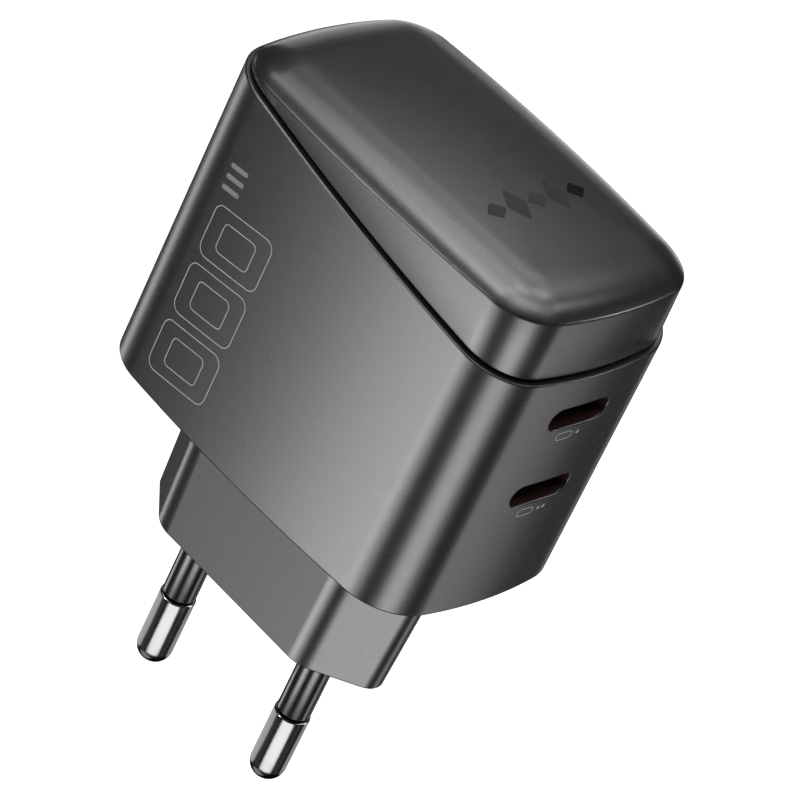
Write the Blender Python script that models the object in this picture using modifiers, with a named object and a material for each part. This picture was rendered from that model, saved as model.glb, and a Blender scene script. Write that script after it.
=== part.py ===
"""A two-port USB-C wall charger with a round-pin plug, as separate pieces.

Origin: centre of the plug block's flat face. +Z points away from the wall
socket, +X towards the end with the two ports, -Y towards the long front side.
All the dimensions below are in millimetres and are turned to metres by MM.
"""

import math

import bmesh
import bpy
from mathutils import Vector

MM = 0.001
AXES = {"X": (1, 0, 0), "Y": (0, 1, 0), "Z": (0, 0, 1)}

# Housing outline: a rounded rectangle with bowed sides
HALF_LENGTH = 23.13
HALF_WIDTH = 14.77
CORNER_RADIUS = 6.83
LONG_SIDE_BOW = 1.395
SHORT_SIDE_BOW = 1.905
BODY_BOTTOM = 17.62
BOTTOM_FILLET = 0.3
WALL = 2.0
FLOOR = 2.0
CORNER_STEPS = 9
LONG_STEPS = 8
SHORT_STEPS = 5

# Parting line: a slanted plane that levels out at the end away from the ports
RIM_MID = 50.92
RIM_SLOPE = -0.156
RIM_TOP = 54.02
RIM_BLEND = 0.35
RIM_CHAMFER = 0.2

# Top cover
COVER_GAP = 0.34
SKIRT_FOOT_INSET = 0.52
SKIRT_HEAD_INSET = 0.7
EDGE_HEIGHT = 54.22
EDGE_RADIUS = 0.55
CROWN_ANGLE = 46.0
CROWN_RISE = 1.75
CROWN_REACH = 4.8
CROWN_DOME = 1.0
COVER_CEILING = 52.4
LIP_OUTER_INSET = 2.3
LIP_INNER_INSET = 3.5
LIP_DEPTH = 2.4

# Plug block
BLOCK_HALF_LENGTH = 17.95
BLOCK_FLAT_HALF = 11.08
BLOCK_HALF_WIDTH = 6.42
BLOCK_SIDE_CORNER = 4.0
BLOCK_END_CORNER = 2.3
BLOCK_TAPER = 0.045
BLOCK_SHOULDER = 17.32
BLOCK_FACE_FILLET = 0.3
BLOCK_FACE = 2.5
BLOCK_WALL = 1.7
NECK_INSET = 1.4
NECK_TOP = 20.6
NECK_CLEARANCE = 0.3

# Pins and sleeves
PIN_SPACING = 18.6
PIN_SIDES = (("left", -PIN_SPACING / 2), ("right", PIN_SPACING / 2))
PIN_LENGTH = 19.0
PIN_RADIUS = 2.0
PIN_CORE_RADIUS = 1.15
SLEEVE_RADIUS = 1.85
SLEEVE_BORE = 1.45
SLEEVE_FOOT = -9.7
SLEEVE_TOP = 3.5
PIN_SHOULDER = -10.0
PIN_HEAD_RADIUS = 2.2
PIN_HEAD = (4.0, 5.5)
PIN_TOP = 7.5
PIN_HOLE_RADIUS = 2.15
TURNED_STEPS = 28
INNER_STEPS = 20

# Ports
PORT_HEIGHTS = (42.1, 32.25)
PORT_SHIFT = 0.2
PORT_SLOT = (8.5, 2.6)
SHELL_OUTER = (8.94, 3.2)
SHELL_INNER = (8.34, 2.56)
SHELL_MOUTH = 20.75
SHELL_REAR = 14.4
SHELL_BACK_WALL = 0.5
TONGUE = (6.69, 0.7)
TONGUE_TIP = 19.9
TONGUE_BASE = (7.7, 1.9)
TONGUE_BASE_FRONT = 16.3

# Boards: (low corner, high corner)
MAIN_BOARD = ((-17.5, 8.3, 20.9), (12.2, 9.5, 47.0))
PORT_BOARD = ((12.9, -9.0, 22.0), (14.1, 9.0, 45.0))

# Transformer, its axis along Y
CORE_CENTRE = (-1.2, 0.0, 38.5)
CORE_HALF = (8.0, 7.5, 6.5)
CORE_PLATE = 2.0
CORE_LEG = 1.4
CORE_POST_RADIUS = 3.0
CORE_HALF_GAP = 0.15

# Input choke, its axis along Y
CHOKE_CENTRE = (-2.6, 1.5, 26.4)
CHOKE_RADII = (2.2, 4.0)
CHOKE_THICKNESS = 3.0
WIRE_RADIUS = 0.3
WIRE_CLEARANCE = 0.3
WIRE_TURNS = 6
STEPS_PER_TURN = 8

# Capacitors that stand on the main board
BULK_CAPACITORS = ((-13.1, 26.5), (-13.1, 34.3), (-13.1, 42.1))
BULK_RADIUS = 3.5
BULK_LENGTH = 13.6
OUTPUT_CAPACITORS = ((9.9, 33.4), (9.9, 39.2))
OUTPUT_RADIUS = 2.5
OUTPUT_LENGTH = 9.0
BOARD_STANDOFF = 0.35


# ---------------------------------------------------------------- outlines


def corner_centre():
    """Radii of the two side arcs and the centre of the corner between them."""
    long_radius = (HALF_LENGTH**2 + LONG_SIDE_BOW**2) / (2 * LONG_SIDE_BOW)
    short_radius = (HALF_WIDTH**2 + SHORT_SIDE_BOW**2) / (2 * SHORT_SIDE_BOW)
    long_centre = Vector((0.0, HALF_WIDTH - long_radius))
    short_centre = Vector((HALF_LENGTH - short_radius, 0.0))
    reach_long = long_radius - CORNER_RADIUS
    reach_short = short_radius - CORNER_RADIUS
    between = short_centre - long_centre
    span = between.length
    along = (reach_long**2 - reach_short**2 + span**2) / (2 * span)
    across = math.sqrt(reach_long**2 - along**2)
    unit = between / span
    foot = long_centre + unit * along
    corner = foot + Vector((unit.y, -unit.x)) * across
    return long_radius, short_radius, long_centre, short_centre, corner


def arc(centre, radius, start, end, steps):
    return [
        centre + radius * Vector((math.cos(a), math.sin(a)))
        for a in (start + (end - start) * i / steps for i in range(steps + 1))
    ]


def body_outline(inset):
    """The housing's outline, drawn in by `inset`, anticlockwise from +X."""
    long_radius, short_radius, long_centre, short_centre, corner = corner_centre()
    to_long = corner - long_centre
    to_short = corner - short_centre
    long_angle = math.atan2(to_long.y, to_long.x)
    short_angle = math.atan2(to_short.y, to_short.x)
    quarter = arc(short_centre, short_radius - inset, 0.0, short_angle, SHORT_STEPS)
    quarter += arc(
        corner, CORNER_RADIUS - inset, short_angle, long_angle, CORNER_STEPS
    )[1:]
    quarter += arc(
        long_centre, long_radius - inset, long_angle, math.pi / 2, LONG_STEPS
    )[1:]
    half = quarter + [Vector((-p.x, p.y)) for p in reversed(quarter[:-1])]
    return half + [Vector((p.x, -p.y)) for p in reversed(half[1:-1])]


def rim_height(x):
    """Height of the housing's rim: the slanted plane, levelled out at RIM_TOP."""
    slanted = RIM_MID + RIM_SLOPE * x
    gap = (RIM_TOP - slanted) / RIM_BLEND
    return RIM_TOP - RIM_BLEND * math.log1p(math.exp(min(gap, 60.0)))


def convex_offset(points, inset):
    """A convex polygon with each side moved in by `inset`."""
    moved = []
    for i, point in enumerate(points):
        before = (point - points[i - 1]).normalized()
        after = (points[(i + 1) % len(points)] - point).normalized()
        inward_a = Vector((-before.y, before.x))
        inward_b = Vector((-after.y, after.x))
        bisector = (inward_a + inward_b).normalized()
        moved.append(point + bisector * inset / bisector.dot(inward_a))
    return moved


def rounded(points, radii, steps=5):
    """A convex polygon with each corner rounded to its own radius."""
    outline = []
    for i, (point, radius) in enumerate(zip(points, radii)):
        before = (points[i - 1] - point).normalized()
        after = (points[(i + 1) % len(points)] - point).normalized()
        half_angle = before.angle(after) / 2
        bisector = (before + after).normalized()
        centre = point + bisector * radius / math.sin(half_angle)
        reach = radius / math.tan(half_angle)
        start = point + before * reach - centre
        end = point + after * reach - centre
        turn = start.angle_signed(end)
        first = math.atan2(start.y, start.x)
        for step in range(steps + 1):
            angle = first - turn * step / steps
            outline.append(centre + radius * Vector((math.cos(angle), math.sin(angle))))
    return outline


def block_outline(height, inset=0.0):
    """The plug block's six-sided outline, a little wider further up."""
    scale = 1 + BLOCK_TAPER * height / BODY_BOTTOM
    corners = [
        (BLOCK_HALF_LENGTH, 0.0),
        (BLOCK_FLAT_HALF, BLOCK_HALF_WIDTH),
        (-BLOCK_FLAT_HALF, BLOCK_HALF_WIDTH),
        (-BLOCK_HALF_LENGTH, 0.0),
        (-BLOCK_FLAT_HALF, -BLOCK_HALF_WIDTH),
        (BLOCK_FLAT_HALF, -BLOCK_HALF_WIDTH),
    ]
    sides = [Vector(c) * scale for c in corners]
    end, side = BLOCK_END_CORNER - inset, BLOCK_SIDE_CORNER - inset
    radii = [max(radius, 0.5) for radius in (end, side, side) * 2]
    return rounded(convex_offset(sides, inset), radii)


def slot_outline(width, height, steps=8):
    """A slot with fully rounded ends, its long side along the first axis."""
    radius = height / 2
    reach = width / 2 - radius
    quarter_turn = math.pi / 2
    right = arc(Vector((reach, 0)), radius, -quarter_turn, quarter_turn, steps)
    left = arc(Vector((-reach, 0)), radius, quarter_turn, 3 * quarter_turn, steps)
    return right + left


# ---------------------------------------------------------------- pieces


def clear_scene():
    for obj in list(bpy.data.objects):
        bpy.data.objects.remove(obj, do_unlink=True)


def new_collection(name, cutters=False):
    collection = bpy.data.collections.new(name)
    bpy.context.scene.collection.children.link(collection)
    collection.hide_render = cutters
    return collection


def material(name, colour, roughness, metallic=0.0):
    made = bpy.data.materials.new(name)
    made.use_nodes = True
    shader = made.node_tree.nodes["Principled BSDF"]
    shader.inputs["Base Color"].default_value = (*colour, 1.0)
    shader.inputs["Roughness"].default_value = roughness
    shader.inputs["Metallic"].default_value = metallic
    made.diffuse_color = (*colour, 1.0)
    made.roughness = roughness
    made.metallic = metallic
    return made


def finish(bm, name, look=None, sharp_angle=32.0):
    """Turns a bmesh into an object of the charger, or into a cutter."""
    bmesh.ops.recalc_face_normals(bm, faces=bm.faces)
    mesh = bpy.data.meshes.new(name)
    bm.to_mesh(mesh)
    bm.free()
    obj = bpy.data.objects.new(name, mesh)
    if look is None:
        cutters.objects.link(obj)
        obj.hide_render = True
        obj.display_type = "WIRE"
        return obj
    charger.objects.link(obj)
    mesh.materials.append(look)
    mesh.shade_smooth()
    mesh.set_sharp_from_angle(angle=math.radians(sharp_angle))
    return obj


def loft(rings, name, look=None):
    """One closed body through rings of equal length, capped at both ends."""
    bm = bmesh.new()
    made = [[bm.verts.new(Vector(p) * MM) for p in ring] for ring in rings]
    for low, high in zip(made, made[1:]):
        for i in range(len(low)):
            j = (i + 1) % len(low)
            bm.faces.new((low[i], low[j], high[j], high[i]))
    bm.faces.new(list(reversed(made[0])))
    bm.faces.new(made[-1])
    return finish(bm, name, look)


def placed(outline, axis, height):
    """An outline set square to an axis, at a height along it."""
    if axis == "X":
        return [(height, p[0], p[1]) for p in outline]
    if axis == "Y":
        return [(p[0], height, p[1]) for p in outline]
    return [(p[0], p[1], height) for p in outline]


def prism(outline, axis, low, high, name, look=None):
    """A flat outline drawn at one height along an axis and extruded to another."""
    bm = bmesh.new()
    corners = [bm.verts.new(Vector(p) * MM) for p in placed(outline, axis, low)]
    grown = bmesh.ops.extrude_face_region(bm, geom=[bm.faces.new(corners)])
    moved = [item for item in grown["geom"] if isinstance(item, bmesh.types.BMVert)]
    way = Vector(AXES[axis]) * (high - low) * MM
    bmesh.ops.translate(bm, vec=way, verts=moved)
    return finish(bm, name, look)


def box(low, high, name, look=None, bevel=0.0):
    bm = bmesh.new()
    bmesh.ops.create_cube(bm, size=1.0)
    for vert in bm.verts:
        for k in range(3):
            middle = (low[k] + high[k]) / 2
            vert.co[k] = (middle + vert.co[k] * (high[k] - low[k])) * MM
    if bevel:
        bmesh.ops.bevel(
            bm,
            geom=bm.edges,
            offset=bevel * MM,
            segments=2,
            profile=0.5,
            affect="EDGES",
        )
    return finish(bm, name, look)


def turned(profile, centre, axis, name, look=None, steps=TURNED_STEPS):
    """A turned body: a Screw of (radius, height) pairs that start and end at 0."""
    bm = bmesh.new()
    points = [bm.verts.new((radius * MM, 0.0, height * MM)) for radius, height in profile]
    for first, second in zip(points, points[1:]):
        bm.edges.new((first, second))
    mesh = bpy.data.meshes.new(name)
    bm.to_mesh(mesh)
    bm.free()
    profile_object = bpy.data.objects.new(name + "_profile", mesh)
    cutters.objects.link(profile_object)
    screw = profile_object.modifiers.new("turn", "SCREW")
    screw.steps = steps
    screw.render_steps = steps
    screw.use_merge_vertices = True
    screw.merge_threshold = 0.00001
    graph = bpy.context.evaluated_depsgraph_get()
    body = bpy.data.meshes.new_from_object(profile_object.evaluated_get(graph))
    bpy.data.objects.remove(profile_object, do_unlink=True)
    bm = bmesh.new()
    bm.from_mesh(body)
    bmesh.ops.remove_doubles(bm, verts=bm.verts, dist=0.000005)
    rotation = Vector((0, 0, 1)).rotation_difference(Vector(AXES[axis])).to_matrix()
    bmesh.ops.transform(bm, matrix=rotation.to_4x4(), verts=bm.verts)
    bmesh.ops.translate(bm, vec=Vector(centre) * MM, verts=bm.verts)
    return finish(bm, name, look)


def boolean(obj, other, operation="DIFFERENCE"):
    modifier = obj.modifiers.new(operation.lower(), "BOOLEAN")
    modifier.operation = operation
    modifier.solver = "EXACT"
    modifier.object = other


def tube_along(points, radius, name, look):
    """A round wire through the points, with closed ends."""
    curve = bpy.data.curves.new(name, "CURVE")
    curve.dimensions = "3D"
    curve.bevel_depth = radius * MM
    curve.bevel_resolution = 1
    curve.use_fill_caps = True
    spline = curve.splines.new("POLY")
    spline.points.add(len(points) - 1)
    for spot, point in zip(spline.points, points):
        spot.co = (*(Vector(point) * MM), 1.0)
    guide = bpy.data.objects.new(name + "_guide", curve)
    cutters.objects.link(guide)
    graph = bpy.context.evaluated_depsgraph_get()
    body = bpy.data.meshes.new_from_object(guide.evaluated_get(graph))
    bpy.data.objects.remove(guide, do_unlink=True)
    bm = bmesh.new()
    bm.from_mesh(body)
    bmesh.ops.remove_doubles(bm, verts=bm.verts, dist=0.000005)
    return finish(bm, name, look, sharp_angle=60.0)


# ---------------------------------------------------------------- enclosure


def build_housing():
    """A cup: up the outside, over the slanted rim, down the inside."""
    rings = []
    for i in range(4):
        angle = math.radians(30 * i)
        inset = BOTTOM_FILLET * (1 - math.sin(angle))
        height = BODY_BOTTOM + BOTTOM_FILLET * (1 - math.cos(angle))
        rings.append(placed(body_outline(inset), "Z", height))

    def at_rim(inset, drop):
        return [
            (p.x, p.y, rim_height(q.x) - drop)
            for p, q in zip(body_outline(inset), body_outline(0.0))
        ]

    rings.append(at_rim(0.0, RIM_CHAMFER))
    rings.append(at_rim(RIM_CHAMFER, 0.0))
    rings.append(at_rim(WALL, 0.0))
    rings.append(placed(body_outline(WALL), "Z", BODY_BOTTOM + FLOOR))
    housing = loft(rings, "main_housing", housing_plastic)
    opening = prism(
        block_outline(BODY_BOTTOM, NECK_INSET - NECK_CLEARANCE),
        "Z",
        BODY_BOTTOM - 1.0,
        BODY_BOTTOM + FLOOR + 1.0,
        "cut_floor_opening",
    )
    boolean(housing, opening)
    for i, height in enumerate(PORT_HEIGHTS):
        slot = [
            (p.x + PORT_SHIFT, p.y + height) for p in slot_outline(*PORT_SLOT)
        ]
        cutter = prism(
            slot,
            "X",
            HALF_LENGTH - WALL - 3.0,
            HALF_LENGTH + 1.0,
            f"cut_port_{i + 1}",
        )
        boolean(housing, cutter)


def crown_bulge(point):
    """How far the crown swells above its shoulders, most in the middle."""
    across = 1 - (point.y / HALF_WIDTH) ** 2
    along = 1 - (point.x / HALF_LENGTH) ** 2
    return CROWN_DOME * across * along


def build_cover():
    """The domed cover: a wedge-shaped skirt, a pillow top and a locating lip."""
    foot = body_outline(0.0)

    def skirt_ring(inset, height, lift):
        """A level ring, kept above the slanted foot of the skirt."""
        return [
            (p.x, p.y, max(height, rim_height(q.x) + COVER_GAP + lift))
            for p, q in zip(body_outline(inset), foot)
        ]

    def lip_ring(inset, rise):
        return [
            (p.x, p.y, rim_height(q.x) + rise)
            for p, q in zip(body_outline(inset), foot)
        ]

    steps = 4
    outside = [lip_ring(SKIRT_FOOT_INSET + 0.12, COVER_GAP)]
    outside.append(lip_ring(SKIRT_FOOT_INSET, COVER_GAP + 0.12))
    sweep = math.radians(90.0 - CROWN_ANGLE)
    for i in range(steps + 1):
        angle = sweep * i / steps
        inset = SKIRT_HEAD_INSET + EDGE_RADIUS * (1 - math.cos(angle))
        height = EDGE_HEIGHT + EDGE_RADIUS * math.sin(angle)
        outside.append(skirt_ring(inset, height, 0.16 + 0.03 * i))
    start_inset = SKIRT_HEAD_INSET + EDGE_RADIUS * (1 - math.cos(sweep))
    start_height = EDGE_HEIGHT + EDGE_RADIUS * math.sin(sweep)
    start = body_outline(start_inset)
    slope = math.tan(math.radians(CROWN_ANGLE))
    for reach in (0.5, 1.1, 1.9, 3.1, CROWN_REACH):
        rise = CROWN_RISE * (1 - math.exp(-reach * slope / CROWN_RISE))
        fade = (1 + math.cos(math.pi * reach / CROWN_REACH)) / 2
        outside.append(
            [
                (p.x, p.y, start_height + rise + crown_bulge(p) - fade * crown_bulge(q))
                for p, q in zip(body_outline(start_inset + reach), start)
            ]
        )
    shoulder = body_outline(start_inset + CROWN_REACH)
    drop = CROWN_RISE - rise
    for share in (0.75, 0.5, 0.25, 0.1):
        level = start_height + CROWN_RISE - drop * share**2
        ring = [p * share for p in shoulder]
        outside.append([(p.x, p.y, level + crown_bulge(p)) for p in ring])
    inside = [
        lip_ring(LIP_OUTER_INSET, COVER_GAP),
        lip_ring(LIP_OUTER_INSET, -LIP_DEPTH),
        lip_ring(LIP_INNER_INSET, -LIP_DEPTH),
        placed(body_outline(LIP_INNER_INSET), "Z", COVER_CEILING),
    ]
    loft(list(reversed(inside)) + outside, "top_cover", cover_plastic)


def build_plug_block():
    """The six-sided plug body, hollow and open upwards, with two pin holes."""
    rings = []
    for i in range(4):
        angle = math.radians(30 * i)
        inset = BLOCK_FACE_FILLET * (1 - math.sin(angle))
        height = BLOCK_FACE_FILLET * (1 - math.cos(angle))
        rings.append(placed(block_outline(height, inset), "Z", height))
    rings.append(placed(block_outline(BLOCK_SHOULDER), "Z", BLOCK_SHOULDER))
    neck = block_outline(BODY_BOTTOM, NECK_INSET)
    rings.append(placed(neck, "Z", BLOCK_SHOULDER))
    rings.append(placed(neck, "Z", NECK_TOP))
    block = loft(rings, "plug_block", housing_plastic)
    hollow = prism(
        block_outline(0.0, NECK_INSET + BLOCK_WALL),
        "Z",
        BLOCK_FACE,
        NECK_TOP + 1.0,
        "cut_block_hollow",
    )
    boolean(block, hollow)
    for side, x in PIN_SIDES:
        hole = turned(
            [
                (0.0, -1.0),
                (PIN_HOLE_RADIUS, -1.0),
                (PIN_HOLE_RADIUS, BLOCK_FACE + 1.0),
                (0.0, BLOCK_FACE + 1.0),
            ],
            (x, 0.0, 0.0),
            "Z",
            f"cut_pin_hole_{side}",
        )
        boolean(block, hole)


# ---------------------------------------------------------------- plug


def build_pins():
    rounding = 6
    tip = []
    for i in range(rounding + 1):
        angle = math.pi / 2 * i / rounding
        height = -PIN_LENGTH + PIN_RADIUS * (1 - math.cos(angle))
        tip.append((PIN_RADIUS * math.sin(angle), height))
    profile = tip + [
        (PIN_RADIUS, PIN_SHOULDER - 0.15),
        (PIN_RADIUS - 0.15, PIN_SHOULDER),
        (PIN_CORE_RADIUS, PIN_SHOULDER),
        (PIN_CORE_RADIUS, PIN_HEAD[0]),
        (PIN_HEAD_RADIUS, PIN_HEAD[0]),
        (PIN_HEAD_RADIUS, PIN_HEAD[1]),
        (PIN_CORE_RADIUS, PIN_HEAD[1]),
        (PIN_CORE_RADIUS, PIN_TOP),
        (0.0, PIN_TOP),
    ]
    sleeve = [
        (SLEEVE_BORE, SLEEVE_FOOT),
        (SLEEVE_RADIUS - 0.1, SLEEVE_FOOT),
        (SLEEVE_RADIUS, SLEEVE_FOOT + 0.1),
        (SLEEVE_RADIUS, SLEEVE_TOP),
        (SLEEVE_BORE, SLEEVE_TOP),
        (SLEEVE_BORE, SLEEVE_FOOT),
    ]
    strip_width = 3.0
    strip_shift = 0.9
    strip = [
        (-1.5, 7.8),
        (2.9, 7.8),
        (2.9, 21.7),
        (7.9, 21.7),
        (7.9, 22.2),
        (2.4, 22.2),
        (2.4, 8.3),
        (-1.5, 8.3),
    ]
    for side, x in PIN_SIDES:
        turned(profile, (x, 0.0, 0.0), "Z", f"pin_{side}", pin_metal)
        turned(sleeve, (x, 0.0, 0.0), "Z", f"pin_sleeve_{side}", sleeve_plastic)
        middle = x - math.copysign(strip_shift, x)
        prism(
            [Vector(p) for p in strip],
            "X",
            middle - strip_width / 2,
            middle + strip_width / 2,
            f"pin_contact_{side}",
            contact_brass,
        )


# ---------------------------------------------------------------- ports


def build_ports():
    """Each socket is a metal shell, closed behind, round a plastic tongue."""
    clearance = 0.3
    for i, height in enumerate(PORT_HEIGHTS):
        number = i + 1

        def section(width, tall, rounded_ends=True):
            if rounded_ends:
                outline = slot_outline(width, tall, 6)
            else:
                outline = [
                    Vector((-width / 2, -tall / 2)),
                    Vector((width / 2, -tall / 2)),
                    Vector((width / 2, tall / 2)),
                    Vector((-width / 2, tall / 2)),
                ]
            return [(p.x + PORT_SHIFT, p.y + height) for p in outline]

        outer = section(*SHELL_OUTER)
        inner = section(*SHELL_INNER)
        cavity = SHELL_REAR + SHELL_BACK_WALL
        rings = [
            placed(inner, "X", cavity),
            placed(inner, "X", SHELL_MOUTH),
            placed(outer, "X", SHELL_MOUTH),
            placed(outer, "X", SHELL_REAR),
        ]
        loft(rings, f"usb_c_shell_{number}", shell_steel)
        base = section(*TONGUE_BASE)
        blade = section(*TONGUE, rounded_ends=False)
        body = prism(
            base,
            "X",
            cavity + clearance,
            TONGUE_BASE_FRONT,
            f"usb_c_tongue_{number}",
            tongue_plastic,
        )
        blade_cutter = prism(
            blade,
            "X",
            TONGUE_BASE_FRONT - 0.6,
            TONGUE_TIP,
            f"join_tongue_{number}",
        )
        boolean(body, blade_cutter, "UNION")


# ---------------------------------------------------------------- inside


def build_boards():
    box(*MAIN_BOARD, "main_board", board_laminate)
    box(*PORT_BOARD, "port_board", board_laminate)


def core_half_outline(side):
    """A yoke with a leg at each end, on one side of the transformer's middle."""
    cx, cy, _ = CORE_CENTRE
    half_length, half_depth, _ = CORE_HALF
    inner = half_length - CORE_LEG
    yoke = half_depth - CORE_PLATE
    right = [(inner, yoke), (inner, CORE_HALF_GAP), (half_length, CORE_HALF_GAP)]
    right.append((half_length, half_depth))
    left = [(-x, y) for x, y in reversed(right)]
    return [Vector((cx + x, cy + side * y)) for x, y in right + left]


def build_transformer():
    """Two core halves that meet in the middle, a bobbin and its winding."""
    cz, half_height = CORE_CENTRE[2], CORE_HALF[2]
    for name, side in (("transformer_core_rear", 1), ("transformer_core_front", -1)):
        core = prism(
            core_half_outline(side), "Z", cz - half_height, cz + half_height, name, ferrite
        )
        ends = sorted((side * CORE_HALF_GAP, side * (CORE_HALF[1] - CORE_PLATE / 2)))
        post = turned(
            [(0, ends[0]), (CORE_POST_RADIUS, ends[0]),
             (CORE_POST_RADIUS, ends[1]), (0, ends[1])],
            CORE_CENTRE,
            "Y",
            f"join_{name}_post",
        )
        boolean(core, post, "UNION")
    flange = 5.2
    turned(
        [
            (3.3, -flange),
            (6.2, -flange),
            (6.2, 0.5 - flange),
            (3.8, 0.5 - flange),
            (3.8, flange - 0.5),
            (6.2, flange - 0.5),
            (6.2, flange),
            (3.3, flange),
            (3.3, -flange),
        ],
        CORE_CENTRE,
        "Y",
        "transformer_bobbin",
        bobbin_plastic,
    )
    turned(
        [(4.1, -4.4), (5.9, -4.4), (5.9, 4.4), (4.1, 4.4), (4.1, -4.4)],
        CORE_CENTRE,
        "Y",
        "transformer_winding",
        copper_wire,
    )


def build_choke():
    cx, cy, cz = CHOKE_CENTRE
    inner, outer = CHOKE_RADII
    half = CHOKE_THICKNESS / 2
    turned(
        [
            (inner, -half),
            (outer, -half),
            (outer, half),
            (inner, half),
            (inner, -half),
        ],
        CHOKE_CENTRE,
        "Y",
        "choke_core",
        ferrite,
    )
    grow = WIRE_RADIUS + WIRE_CLEARANCE
    for name, middle in (("choke_winding_a", 0.0), ("choke_winding_b", math.pi)):
        points = []
        total = WIRE_TURNS * STEPS_PER_TURN
        for i in range(total + 1):
            turn = 2 * math.pi * i / STEPS_PER_TURN
            around = middle + math.radians(120.0) * (i / total - 0.5)
            c, s = math.cos(turn), math.sin(turn)
            reach = max(abs(c), abs(s))
            radial = (outer - inner) / 2 + grow
            ring = (inner + outer) / 2 + radial * c / reach
            lift = (half + grow) * s / reach
            points.append(
                (cx + ring * math.cos(around), cy + lift, cz + ring * math.sin(around))
            )
        tube_along(points, WIRE_RADIUS, name, copper_wire)


def can(x, z, radius, length, name, look):
    """A capacitor can on the main board, its free end turned to -Y."""
    foot = MAIN_BOARD[0][1] - BOARD_STANDOFF
    neck = 1.6
    profile = [
        (0.0, foot - length),
        (radius - 0.4, foot - length),
        (radius, foot - length + 0.4),
        (radius, foot - neck - 0.4),
        (radius - 0.35, foot - neck),
        (radius, foot - neck + 0.4),
        (radius, foot - 0.3),
        (radius - 0.3, foot),
        (0.0, foot),
    ]
    turned(profile, (x, 0.0, z), "Y", name, look, INNER_STEPS)


def disc(low, high, radius, centre, axis, name, look):
    profile = [
        (0.0, low),
        (radius - 0.4, low),
        (radius, low + 0.4),
        (radius, high - 0.4),
        (radius - 0.4, high),
        (0.0, high),
    ]
    turned(profile, centre, axis, name, look, INNER_STEPS)


def build_components():
    for i, (x, z) in enumerate(BULK_CAPACITORS):
        can(x, z, BULK_RADIUS, BULK_LENGTH, f"bulk_capacitor_{i + 1}", can_sleeve)
    for i, (x, z) in enumerate(OUTPUT_CAPACITORS):
        can(x, z, OUTPUT_RADIUS, OUTPUT_LENGTH, f"output_capacitor_{i + 1}", can_metal)
    disc(-6.1, 0.9, 1.4, (0.0, 6.2, 24.6), "X", "input_fuse", fuse_body)
    disc(-1.0, 1.0, 2.6, (-2.6, -4.2, 26.4), "Y", "inrush_thermistor", thermistor_coat)
    disc(-1.1, 1.1, 3.0, (7.4, -7.2, 26.4), "Y", "y_capacitor", ceramic_coat)
    blocks = (
        ("x_capacitor", (3.1, -4.0, 22.9), (11.6, 7.9, 28.9), film_case, 0.4),
        ("output_inductor", (7.3, 1.4, 43.0), (12.2, 7.6, 47.2), ferrite, 0.3),
        ("bridge_rectifier", (-14.6, 9.8, 24.0), (-9.6, 11.3, 28.0), chip_epoxy, 0.15),
        ("gan_switch", (-7.0, 9.8, 30.0), (-1.0, 10.8, 38.0), chip_epoxy, 0.15),
        ("controller_chip", (-0.5, 9.8, 23.5), (3.5, 10.9, 28.5), chip_epoxy, 0.15),
        ("optocoupler", (4.8, 9.8, 30.0), (9.4, 11.2, 33.0), chip_epoxy, 0.15),
        ("sync_rectifier", (4.4, 9.8, 36.5), (9.4, 10.8, 42.5), chip_epoxy, 0.15),
        ("port_controller", (14.4, -1.8, 35.2), (15.3, 2.2, 39.2), chip_epoxy, 0.15),
        ("heat_plate", (-15.0, -11.2, 22.0), (11.5, -10.4, 43.5), plate_metal, 0.15),
        ("thermal_pad", (-8.0, -10.1, 33.0), (5.6, -7.8, 44.0), pad_rubber, 0.3),
        ("insulation_sheet", (-12.5, 11.6, 22.0), (11.0, 11.95, 45.0), sheet_film, 0.0),
    )
    for name, low, high, look, bevel in blocks:
        box(low, high, name, look, bevel)


# ---------------------------------------------------------------- build

clear_scene()
charger = new_collection("usb_wall_charger")
cutters = new_collection("cutters", cutters=True)

housing_plastic = material("housing_plastic", (0.035, 0.035, 0.037), 0.42)
cover_plastic = material("cover_plastic", (0.030, 0.030, 0.032), 0.38)
sleeve_plastic = material("sleeve_plastic", (0.012, 0.012, 0.013), 0.22)
pin_metal = material("pin_metal", (0.78, 0.76, 0.73), 0.16, 1.0)
contact_brass = material("contact_brass", (0.80, 0.60, 0.30), 0.35, 1.0)
shell_steel = material("shell_steel", (0.60, 0.60, 0.61), 0.30, 1.0)
tongue_plastic = material("tongue_plastic", (0.015, 0.012, 0.012), 0.45)
board_laminate = material("board_laminate", (0.02, 0.13, 0.06), 0.45)
ferrite = material("ferrite", (0.05, 0.05, 0.055), 0.60)
bobbin_plastic = material("bobbin_plastic", (0.03, 0.03, 0.03), 0.50)
copper_wire = material("copper_wire", (0.72, 0.32, 0.14), 0.30, 1.0)
can_sleeve = material("can_sleeve", (0.03, 0.05, 0.09), 0.35)
can_metal = material("can_metal", (0.75, 0.75, 0.76), 0.30, 1.0)
fuse_body = material("fuse_body", (0.45, 0.43, 0.38), 0.40)
thermistor_coat = material("thermistor_coat", (0.03, 0.10, 0.05), 0.45)
ceramic_coat = material("ceramic_coat", (0.06, 0.18, 0.42), 0.45)
film_case = material("film_case", (0.62, 0.45, 0.08), 0.45)
chip_epoxy = material("chip_epoxy", (0.02, 0.02, 0.02), 0.50)
plate_metal = material("plate_metal", (0.72, 0.73, 0.74), 0.40, 1.0)
pad_rubber = material("pad_rubber", (0.35, 0.37, 0.40), 0.80)
sheet_film = material("sheet_film", (0.70, 0.70, 0.66), 0.35)

build_housing()
build_cover()
build_plug_block()
build_pins()
build_ports()
build_boards()
build_transformer()
build_choke()
build_components()
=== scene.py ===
"""The looks of a two-port USB-C wall charger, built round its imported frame.

The frame's origin is the centre of the plug block's flat face. +Z points away
from the wall, +X towards the end with the ports, -Y towards the long front.
Lengths are in millimetres up to the point where a mesh is made, and in metres
in the studio.
"""

import math

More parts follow.
